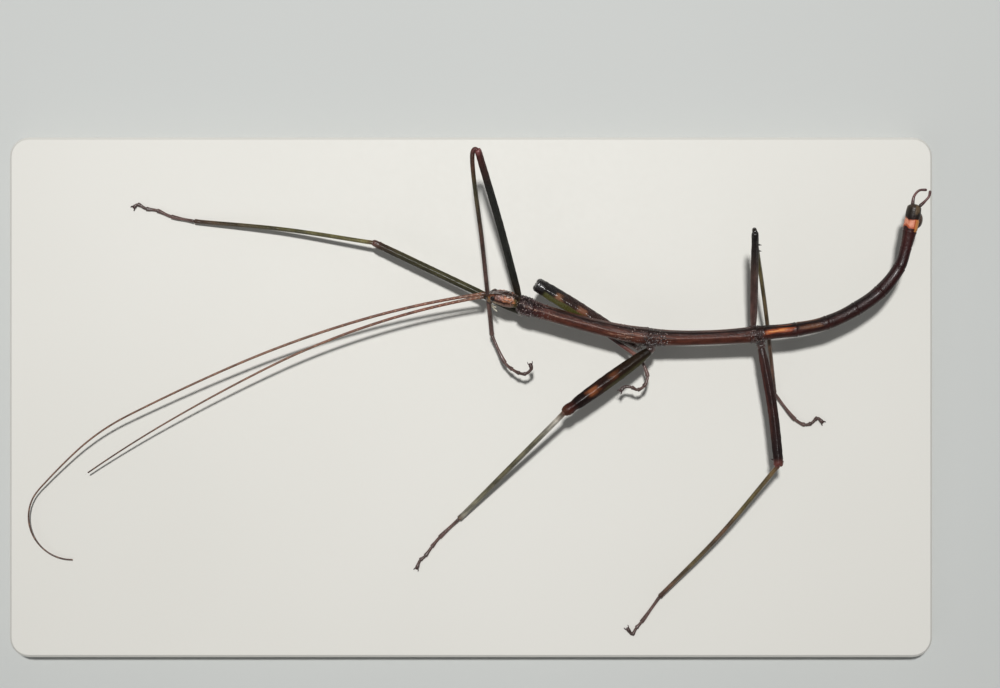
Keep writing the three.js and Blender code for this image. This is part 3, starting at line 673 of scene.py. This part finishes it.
def make_feelers():
    """Long thread-like feelers: a thick first joint, then many short joints, each pale at its end."""
    for name, (start, way, arcs) in FEELERS.items():
        points = [Vector(start)]
        for length, turn, height in arcs:
            low = points[-1].z
            for i in range(1, 7):
                step = points[-1] + heading(way + turn / 12) * (length / 6)
                step.z = low + (height - low) * i / 6
                points.append(step)
                way += turn / 6
        path = Path(points)
        length, rounded = path.length, (0.12, 0.15)
        joints = [0.75, 1.3]
        while joints[-1] < length - 1.2:
            joints.append(joints[-1] + 0.8 + 1.5 * smooth(0, 22, joints[-1]))

        def skin(x, a):
            thin = 0.235 - 0.1 * smooth(0, length, x) - 0.02 * x / length
            if x < 1.35:
                thin = 0.31 - 0.06 * smooth(0.68, 0.82, x)
            gap = min(abs(x - joint) for joint in joints)
            r = thin * (1 + 0.1 * hill(gap, 0.12)) * rounding(x, length, *rounded)
            return r * math.sin(a), r * math.cos(a)

        places = stations(length, 0.3, *rounded)
        for joint in joints:
            places += [joint + shift for shift in (-0.2, -0.1, 0.0, 0.1, 0.2)]
        bm = roll(in_order(places), 10, skin)
        rings = bm.verts.layers.float.new("ring")
        for vert in bm.verts:
            vert[rings] = hill(min(abs(vert.co.x - joint) for joint in joints), 0.14)
        bend(bm, path)

        finish = cuticle("feeler cuticle, reddish brown", length, (
            (0, "#4c3020"), (1.2, "#6a3f2a"), (12, "#734636"), (28, "#80604f"), (length * 0.75, "#77594c"),
            (length, "#4a3128")), (), 0.38, 0.35, (pale_joints,))
        nodes = [name + "_base"] + ["%s_%d" % (name, i + 1) for i in range(len(arcs))]
        finish_piece(name + "_thread", bm, finish, "feeler", *nodes)


# ---- Legs --------------------------------------------------------------------------------------

def ridged(a, sharp, turned=0.0):
    """How far a five-ridged limb's skin stands out at a. Where sharp is 1 it runs from 0.94 in the middle
    of a flat to 1.15 on a ridge, and where sharp is 0 the limb is round."""
    facet = math.tau / 5
    within = (a + turned) % facet - facet / 2
    return 1 - sharp + sharp * (0.9 / math.cos(within) + 0.04)


# The colours along each femur and shin, and the patches on them.
FEMUR_LOOKS = {
    "front_left": (((0, "#2e2c18"), (6, "#3e3b22"), (20, "#3a3622"), (23.2, "#3a2a1e"), (24.6, "#5c3c34")),
                   ((12, 10, 3, 90, 12, 20, "#6a5a38", 0.5), (12, 10, 3, -70, 14, 20, "#17150d", 0.7))),
    "front_right": (((0, "#2a2118"), (4, "#171812"), (18, "#1a1a15"), (21.5, "#331d17"), (23.4, "#451f1a"),
                     (24.2, "#8a5452")), ()),
    "middle_left": (
        ((0, "#1d160f"), (3.5, "#251a10"), (8.6, "#2a1711"), (13.4, "#170d0b"), (14.6, "#3c1a14"),
         (15.6, "#573122")),
        ((6.6, 0.2, 1.0, 12, 20, 24, "#6d3f24", 0.6), (10.6, 0.2, 1.1, 8, 22, 28, "#8e5230", 0.8),
         (5.0, 3.0, 2.0, -60, 14, 24, "#4a4a24", 0.4))),
    "middle_right": (
        ((0, "#3a1f17"), (4, "#3c2018"), (8, "#351c15"), (13, "#2a1712"), (15.0, "#120c0b"),
         (17, "#150e0d")),
        ((10.2, 0.2, 0.9, 4, 16, 22, "#96644a", 0.65), (14.2, 0.2, 0.8, 4, 14, 22, "#9a6a4c", 0.7),
         (10.6, 5.2, 1.0, -60, 34, 18, "#55542a", 0.85))),
    "hind_left": (((0, "#33201c"), (4, "#2e1815"), (9, "#2b1512"), (14.5, "#1d0f0e"), (16.6, "#21110f"),
                   (17.5, "#6a3a34")), ((7.0, 5.0, 3.0, 60, 10, 20, "#4f2c26", 0.5),)),
    "hind_right": (((0, "#4a3532"), (4, "#563c38"), (10.5, "#42302a"), (13.2, "#1a1110"),
                    (16.6, "#15100e")), ()),
}
SHIN_LOOKS = {
    "front_left": (((0, "#5b3f2c"), (1.2, "#645c32"), (12, "#4f4a2a"), (22, "#443824"),
                    (28.3, "#4a3428")), ()),
    "front_right": (((0, "#6a3a38"), (0.8, "#3a231a"), (4, "#4f3426"), (7, "#3d3a24"), (14, "#46302a"),
                     (24, "#54403a"), (29.6, "#5a4540")), ()),
    # The middle left shin's pale grey near its start and near its ankle is painted highlight.
    "middle_left": (((0, "#5c2f20"), (0.7, "#75675a"), (2, "#aaa498"), (6, "#6c6754"), (13, "#58523c"),
                     (20, "#6c6754"), (23.5, "#8f8a7a"), (24.7, "#54392c")),
                    ((12, 11, 1.5, -100, 20, 24, "#35301c", 0.7),)),
    "middle_right": (((0, "#1c1210"), (2, "#43201a"), (13, "#5a3430"), (17, "#6a443c"),
                      (19.4, "#8a6458")), ()),
    "hind_left": (((0, "#5c3430"), (0.9, "#5e4a2c"), (8, "#5d522e"), (13, "#5a4230"), (20, "#54482c"),
                   (26, "#584030"), (28, "#4a3428")), ((14, 13, 1, 110, 22, 22, "#2a2014", 0.6),)),
    "hind_right": (((0, "#191210"), (1.5, "#3a3020"), (6, "#4f4a2c"), (18, "#5a4636"), (24, "#5c4438"),
                    (28.85, "#4a3830")), ()),
}
# What sets some thighs apart: their ridges, the neck before the knee, how far the tip runs past the knee to
# hide the start of the folded shin, and their roughness and shine.
THIGH = {"sharp": 0.85, "neck": 0.05, "past": 0.0, "roughness": 0.32, "shine": 0.5}
OWN_THIGHS = {
    "middle_left": {"sharp": 0.5, "neck": 0.12, "shine": 0.2},
    "middle_right": {"past": 0.4, "roughness": 0.22, "shine": 0.9},
    "hind_left": {"shine": 0.3},
}
FOOT_COLOURS = ("#54403a", "#634a44", "#54403a", "#463632")


def bowed(start, end, bow):
    across = (end - start).cross(UP).normalized()
    return [start, (start + end) / 2 + across * bow, end]


def make_coxa(name, leg):
    """The short first joint that carries a leg, with grains round it."""
    ring, share, out, down = leg["hip"]
    root, hip = on_body(ring, share, 0.3 * out, -0.3 * down), on_body(ring, share, out, -down)
    ahead = (hip - root).normalized()
    path = Path([root, (root + hip) / 2, hip + ahead * 0.5])
    length, rounded = path.length, (0.3, 0.5)

    def skin(x, a):
        lumps = noise.noise(Vector((2.1 * x, 3 * math.sin(a), 3 * math.cos(a) + len(name))))
        r = (0.66 - 0.1 * smooth(length - 1.2, length - 0.4, x)) * (1 + 0.09 * lumps)
        r *= 1 - 0.16 * hill(x - (length - 0.95), 0.12)
        r *= rounding(x, length, *rounded)
        return r * math.sin(a), r * math.cos(a)

    bm = roll(stations(length, 0.07, *rounded), 36, skin)
    luck = random.Random(len(name) * 3 + 1)
    spots = []
    if not name.startswith("front"):
        for _ in range(90):
            x, a = luck.uniform(0.4, length - 0.4), luck.uniform(-math.pi, math.pi)
            spots.append((x, *skin(x, a), luck.uniform(0.06, 0.12)))
    add_grains(bm, spots)
    bend(bm, path)
    dark = ("#4f453a", "#3a2d26") if name.startswith("front") else ("#2f1e1a", "#46322d")
    finish = cuticle(name + " hip cuticle", length, ((0, dark[0]), (length, dark[1])), (), 0.28, 0.55,
                     shine=0.9)
    finish_piece(name + "_hip", bm, finish, "limb", name + "_coxa")
    return hip


def make_femur(name, leg, hip):
    """The thigh: five-ridged, with two lobes that clasp the shin's start."""
    length, way, rise, bow, widths = leg["femur"]
    own = {**THIGH, **OWN_THIGHS.get(name, {})}
    knee = hip + length * heading(way, rise)
    path = Path(bowed(hip, knee, bow))
    length += own["past"]
    rounded = (0.35, 0.3 if leg["fold"] else 0.25 * widths[2] + 0.15)

    def skin(x, a):
        t = min(x / length, 1.0)
        r = radius_at(widths, t) * (0.9 + 0.1 * smooth(0.2, 2.2, x))
        r *= ridged(a, own["sharp"] * smooth(0.5, 2.5, x) * (1 - smooth(length - 1.6, length - 0.6, x)))
        neck = own["neck"] * hill(x - length + 1.8, 0.4)
        r *= 1 + 0.06 * hill(x - (length - 0.7), 0.6) * abs(math.sin(a)) - neck
        r *= 1 + 0.04 * noise.noise(Vector((1.3 * x, 3 * math.sin(a), 3 * math.cos(a) + len(name))))
        r *= rounding(x, length, *rounded)
        return r * math.sin(a), r * math.cos(a)

    bm = roll(stations(length, 0.14, *rounded), 40, skin)
    foot = radius_at(widths, 1.0)
    for s in (1, -1):
        place = Matrix.Translation((length - 0.42, s * foot * 0.5, 0.0)) @ Matrix.Diagonal(
            (0.52, 0.52 * foot, 0.7 * foot, 1))
        bmesh.ops.create_uvsphere(bm, u_segments=24, v_segments=14, radius=1, matrix=place)
    # Small bumps round an open knee, which catch the light.
    luck = random.Random(len(name) + 5)
    bumps = []
    for _ in range(0 if leg["fold"] else 26):
        x, a = length - luck.uniform(0.35, 1.2), luck.uniform(-math.pi, math.pi)
        out, up = skin(x, a)
        bumps.append((x, out, up, luck.uniform(0.05, 0.09)))
    add_grains(bm, bumps)
    if name == "hind_left":
        add_spine(bm, length - 1.0, 1.75, radius_at(widths, 0.9) * 0.9, 0.5)
    if name == "hind_right":
        for x in (length - 2.1, length - 3.1):
            add_spine(bm, x, 1.57, radius_at(widths, 0.85) * 0.85, 0.6, 0.3)
    if name.startswith("middle"):
        add_spine(bm, length - 1.5, math.pi, radius_at(widths, 0.9) * 0.9, 0.5)
    bend(bm, path)
    colours, marks = FEMUR_LOOKS[name]
    finish = cuticle(name + " femur cuticle, ridged", length, colours, marks, own["roughness"],
                     0.4, shine=own["shine"])
    finish_piece(name + "_thigh", bm, finish, "limb", name + "_femur")
    return knee, path


def make_shin(name, leg, knee, thigh):
    """The long shin. Where the leg is folded, its start hooks round the thigh's tip."""
    length, way, end, bow, width = leg["shin"]
    _, side, back = thigh.frame(thigh.length)
    ahead = back.cross(side)
    fold = leg["fold"]
    start = knee - 0.2 * ahead
    if fold:
        start = knee + side * fold[0] - back * fold[1] + ahead * 0.3
    fall = -math.degrees(math.asin((start.z - end) / length))
    along = heading(way, fall)
    ankle = start + along * length
    line = bowed(start, ankle, bow)
    if fold:
        outward = start - knee - ahead * 0.3
        line = [knee - 0.35 * ahead, knee + 0.1 * ahead + 0.5 * outward, start + 0.6 * along] + line[1:]
    path = Path(line)
    full = path.length
    hooked, rounded = full - length, (0.2, 0.22)

    def skin(x, a):
        grown = smooth(hooked * 0.5, hooked + 1.1, x)
        r = 0.5 * width * (0.94 + 0.06 * hill(x - full, 2.0) + 0.05 * hill(x - hooked, 1.6))
        r *= ridged(a, 0.85 * grown * (1 - smooth(full - 1.4, full - 0.4, x)), 0.3)
        r *= 1 + 0.09 * hill(x - full + 0.3, 0.35)
        r *= rounding(x, full, *rounded)
        return r * math.sin(a), r * math.cos(a)

    places = stations(full, 0.2, *rounded)
    if fold:
        places = sorted(set(places + [round(0.2 + 0.08 * i, 3) for i in range(24)]))
    bm = roll(places, 30, skin)
    if fold:
        knob = Matrix.Translation((0.52 * hooked, 0, 0)) @ Matrix.Diagonal((0.42, 0.36, 0.36, 1))
        bmesh.ops.create_uvsphere(bm, u_segments=20, v_segments=12, radius=1, matrix=knob)
    add_spine(bm, full - 0.25, math.pi, 0.45 * width, 0.3)
    bend(bm, path)
    colours, marks = SHIN_LOOKS[name]
    colours = [(x + max(hooked, 0.0) * (x > 0), colour) for x, colour in colours]
    finish = cuticle(name + " tibia cuticle, ridged", full, colours, marks, 0.3, 0.45)
    finish_piece(name + "_shin", bm, finish, "shin", name + "_tibia")
    return ankle


def make_foot(name, leg, ankle):
    """The foot: four toes that widen to padded ends, then a fifth with a pad and two hooked claws."""
    way = leg["shin"][1]
    points = [ankle.copy()]
    for length, turn, height in leg["toes"]:
        way += turn
        step = points[-1] + heading(way) * length
        step.z = height
        points.append(step)
    path = Path(points)
    full = path.length
    starts = path.stops[:-1][:5]
    ends = [*starts[1:], full]
    rounded = (0.15, 0.2)

    def skin(x, a):
        i = min(bisect_right(ends, x), len(ends) - 1)
        u = (x - starts[i]) / (ends[i] - starts[i])
        r = 0.225 + 0.1 * smooth(0.35, 0.95, u)
        if i == 0:
            r += 0.03 * (1 - smooth(0.0, 0.3, u))
        below = max(0.0, -math.cos(a))
        r *= 1 + 0.25 * below * hill(ends[i] - x - 0.14, 0.22)
        r *= 1 - 0.28 * sum(hill(x - joint, 0.07) for joint in ends[:-1])
        r *= rounding(x, full, *rounded)
        return r * math.sin(a), r * math.cos(a)

    places = stations(full, 0.11, *rounded)
    for joint in ends[:-1]:
        places += [joint + 0.05 * i for i in range(-4, 5)]
    bm = roll(in_order(places), 20, skin)
    bend(bm, path)
    finish = cuticle(name + " foot cuticle, mauve brown", full, [
        (full * share, colour) for share, colour in zip((0, 0.35, 0.7, 1), FOOT_COLOURS)], (), 0.32, 0.45)
    finish_piece(name + "_foot", bm, finish, "foot", name + "_tarsus")

    tip, side, back = path.frame(full - 0.12)
    ahead = back.cross(side)
    bm = bmesh.new()
    for s in (1, -1):
        line = Path([tip + side * s * 0.08, tip + ahead * 0.2 + side * s * 0.24 + back * 0.06,
                     tip + ahead * 0.42 + side * s * 0.36,
                     tip + ahead * 0.56 + side * s * 0.34 - back * 0.16])
        hook = claw_tube(line)
        bend(hook, line)
        copy = bpy.data.meshes.new("claw")
        hook.to_mesh(copy)
        hook.free()
        bm.from_mesh(copy)
        bpy.data.meshes.remove(copy)
    bmesh.ops.create_uvsphere(bm, u_segments=14, v_segments=8, radius=1, matrix=Matrix.Translation(
        tip + ahead * 0.12 - back * 0.04) @ Matrix.Diagonal((0.24, 0.22, 0.16, 1)))
    for vert in bm.verts:
        vert.co.z = max(vert.co.z, SOLE)
    # Claw horn is darker and more polished than the toes.
    finish = cuticle(name + " claw horn", 1.0, ((0, "#4a3230"), (1.0, "#241716")), (), 0.2, 0.3)
    finish_piece(name + "_claws", bm, finish, "foot")


def claw_tube(line):
    rounded = (0.05, 0.03)

    def skin(x, a):
        r = (0.1 * (1 - x / line.length) + 0.035) * rounding(x, line.length, *rounded)
        return r * math.sin(a), r * math.cos(a)

    return roll(stations(line.length, 0.06, *rounded), 10, skin)


def make_legs():
    for name, leg in LEGS.items():
        hip = make_coxa(name, leg)
        knee, thigh = make_femur(name, leg, hip)
        ankle = make_shin(name, leg, knee, thigh)
        make_foot(name, leg, ankle)


# ---- Tail --------------------------------------------------------------------------------------

def make_tail():
    """The two claspers and the scoop under the tail's bulb."""
    finish = cuticle("clasper cuticle, red brown", 3.2, (
        (0, "#3a2620"), (1.5, "#5c3430"), (3.2, "#4a2a28")), (), 0.36, 0.4)
    for name, (out, length, way, rise, turns) in CLASPERS.items():
        steps = [(0.25, way, rise)]
        for turn in turns:
            way += turn
            steps.append((length / 3, way, rise))
        path = Path(walk(on_body("abdomen_10", 0.9, out, 0.1), steps))
        full, rounded = path.length, (0.2, 0.17)

        def skin(x, a):
            r = (0.27 - 0.09 * smooth(0.0, 0.5, x / full)) * (1 + 0.12 * hill(x - full + 0.3, 0.3))
            r *= rounding(x, full, *rounded)
            return r * math.sin(a), r * math.cos(a)

        bm = roll(stations(full, 0.08, *rounded), 20, skin)
        bend(bm, path)
        finish_piece(name + "_clasper", bm, finish, "abdomen", name)

    centre = RING_START["abdomen_10"]
    bm = bmesh.new()
    bmesh.ops.create_uvsphere(bm, u_segments=36, v_segments=24, radius=1, matrix=Matrix.Translation(
        (centre, 0, -1.55)) @ Matrix.Rotation(math.pi / 2, 4, "Y") @ Matrix.Diagonal((0.85, 0.8, 1.2, 1)))
    bend(bm, spine, LEAN)
    scoop = cuticle("tail scoop cuticle", TAIL_END, (
        (0, "#2a1a15"), (centre - 1.3, "#2a1a15"), (centre, "#4d3a30"), (TAIL_END, "#5d4a3e")),
        (), 0.27, 0.4)
    finish_piece("tail_scoop", bm, scoop, "abdomen", "poculum")


# ---- Board, floor, light and camera --------------------------------------------------------------

LIT = (5, 8, 5)  # what the lamps are aimed at
CAMERA = (4.46, 8.2, 220)
FOCAL_LENGTH = 50.59


def painted_board():
    """Satin emulsion rolled on a wood board: off-white, with the roller's faint stipple."""
    finish, tree = new_finish("painted board, satin off-white")
    place = node(tree, "TexCoord").outputs["Object"]
    # Stipple about 0.8 mm across, and a slow drift in tone over about 60 mm.
    stipple = node(tree, "TexNoise", inputs={"Vector": place, "Scale": 1.2 / MM, "Detail": 3.0}).outputs[0]
    drift = node(tree, "TexNoise", inputs={"Vector": place, "Scale": 0.016 / MM, "Detail": 2.0}).outputs[0]
    colour = lay(tree, linear("#dedcd4"), "#e6e4dd", 1.0, drift)
    relief = node(tree, "Bump", inputs={"Height": stipple, "Strength": 0.25, "Distance": 0.03 * MM})
    rough = node(tree, "MapRange", inputs={"Value": stipple, "To Min": 0.5, "To Max": 0.65})
    shader = node(tree, "BsdfPrincipled", inputs={"Base Color": colour, "Roughness": rough.outputs[0],
                                                  "Normal": relief.outputs[0]})
    node(tree, "OutputMaterial", inputs={"Surface": shader.outputs[0]})
    return finish


def make_stage():
    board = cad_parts["stand_base"]
    board.data.materials.clear()
    board.data.materials.append(painted_board())

    finish, tree = new_finish("studio floor, pale matt card")
    place = node(tree, "TexCoord").outputs["Object"]
    drift = node(tree, "TexNoise", inputs={"Vector": place, "Scale": 0.01 / MM}).outputs[0]
    colour = lay(tree, linear("#c9cbc8"), "#cfd1ce", 1.0, drift)
    shader = node(tree, "BsdfPrincipled", inputs={"Base Color": colour, "Roughness": 0.85})
    node(tree, "OutputMaterial", inputs={"Surface": shader.outputs[0]})
    bm = bmesh.new()
    bmesh.ops.create_grid(bm, x_segments=1, y_segments=1, size=3.0)
    mesh = bpy.data.meshes.new("floor")
    bm.to_mesh(mesh)
    bm.free()
    mesh.materials.append(finish)
    add_object("floor", mesh)


def add_light(name, place, size, watts):
    """A round lamp of that size across, aimed at the middle of the insect."""
    lamp = bpy.data.lights.new(name, "AREA")
    lamp.shape = "DISK"
    lamp.size = size * MM
    lamp.energy = watts
    made = add_object(name, lamp)
    made.location = Vector(place) * MM
    made.rotation_euler = (Vector(LIT) * MM - made.location).to_track_quat("-Z", "Y").to_euler()


def make_lights():
    """A soft lamp high on the insect's right side, and a dim even room."""
    add_light("key_lamp", (-6, 108, 430), 30, 1.6)
    add_light("fill_lamp", (-260, -200, 380), 300, 0.14)
    room = bpy.data.worlds.new("studio")
    room.use_nodes = True
    back = room.node_tree.nodes["Background"]
    back.inputs["Color"].default_value = linear("#eef0f2")
    back.inputs["Strength"].default_value = 0.15
    bpy.context.scene.world = room


def make_camera():
    """Straight down over the board."""
    lens = bpy.data.cameras.new("camera")
    lens.sensor_width = 36
    lens.lens = FOCAL_LENGTH
    lens.clip_start = 0.01
    lens.clip_end = 20
    made = add_object("camera", lens)
    made.location = Vector(CAMERA) * MM
    bpy.context.scene.camera = made


make_camera()
make_body()
make_eyes()
make_mouth()
make_feelers()
make_legs()
make_tail()
make_stage()
make_lights()
bpy.context.scene.view_settings.view_transform = "Standard"
